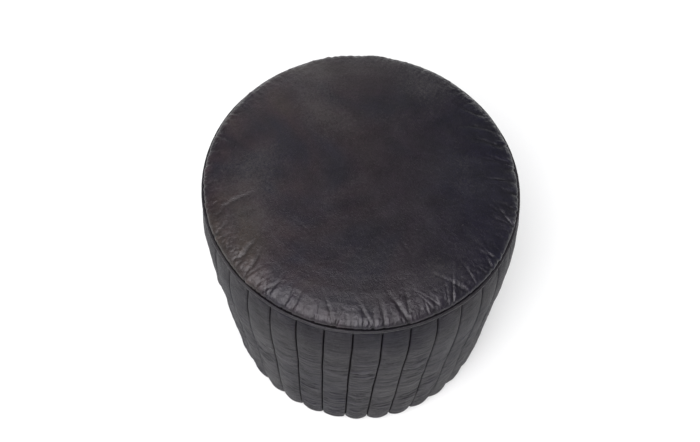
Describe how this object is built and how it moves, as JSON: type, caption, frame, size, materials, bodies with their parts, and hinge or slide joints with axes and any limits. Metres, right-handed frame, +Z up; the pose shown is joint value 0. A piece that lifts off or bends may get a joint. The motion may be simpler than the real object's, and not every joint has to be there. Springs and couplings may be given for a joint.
{
  "type": "leather pouf",
  "caption": "Drum-shaped leather pouf with a piped, softly crowned top, puffed upright side strips and a zipped base.",
  "frame": {"origin": "on the floor, under the middle of the drum", "axes": "+Z up along the drum's axis; -Y is the front; the zip runs along X and is closed with its slider at +X"},
  "size_m": [0.467, 0.467, 0.455],
  "materials": {
    "strip_leather": "satin",
    "top_leather": "satin",
    "piping_leather": "satin",
    "base_leather": "matte",
    "cotton_cord": "matte",
    "thread": "satin",
    "wadding": "matte",
    "felt": "matte",
    "calico": "matte",
    "foam": "matte",
    "zip_tape": "matte",
    "zip_brass": "satin"
  },
  "bodies": {
    "pouf": {"bag_bottom": "calico", "bag_side": "calico", "bag_top": "calico", "base_half_front": "base_leather", "base_half_rear": "base_leather", "base_pad": "felt", "base_seam_thread": "thread", "channel_wadding": "wadding", "core_wrap": "wadding", "foam_core": "foam", "piping_cord": "cotton_cord", "piping_sleeve": "piping_leather", "rim_seam_thread": "thread", "seat_pad": "wadding", "side_seam_threads": "thread", "side_strip_01": "strip_leather", "side_strip_02": "strip_leather", "side_strip_03": "strip_leather", "side_strip_04": "strip_leather", "side_strip_05": "strip_leather", "side_strip_06": "strip_leather", "side_strip_07": "strip_leather", "side_strip_08": "strip_leather", "side_strip_09": "strip_leather", "side_strip_10": "strip_leather", "side_strip_11": "strip_leather", "side_strip_12": "strip_leather", "side_strip_13": "strip_leather", "side_strip_14": "strip_leather", "side_strip_15": "strip_leather", "side_strip_16": "strip_leather", "side_strip_17": "strip_leather", "side_strip_18": "strip_leather", "side_strip_19": "strip_leather", "side_strip_20": "strip_leather", "side_strip_21": "strip_leather", "side_strip_22": "strip_leather", "side_strip_23": "strip_leather", "side_strip_24": "strip_leather", "side_strip_25": "strip_leather", "side_strip_26": "strip_leather", "side_strip_27": "strip_leather", "side_strip_28": "strip_leather", "side_strip_29": "strip_leather", "side_strip_30": "strip_leather", "side_strip_31": "strip_leather", "side_strip_32": "strip_leather", "side_strip_33": "strip_leather", "side_strip_34": "strip_leather", "side_strip_35": "strip_leather", "side_strip_36": "strip_leather", "top_panel": "top_leather", "zip_stitches": "thread", "zip_stops": "zip_brass", "zip_tape_front": "zip_tape", "zip_tape_rear": "zip_tape", "zip_teeth_front": "zip_brass", "zip_teeth_rear": "zip_brass"},
    "slider": {"zip_slider": "zip_brass"},
    "pull": {"zip_pull": "zip_brass"}
  },
  "joints": [
    {"name": "zip_slide", "type": "slide", "parent": "pouf", "child": "slider", "axis": [-1, 0, 0], "range_m": [0, 0.248]},
    {"name": "pull_hinge", "type": "hinge", "parent": "slider", "child": "pull", "pos_m": [0.124, 0, 0.0057], "axis": [0, 1, 0], "range_deg": [-168, 14]}
  ]
}
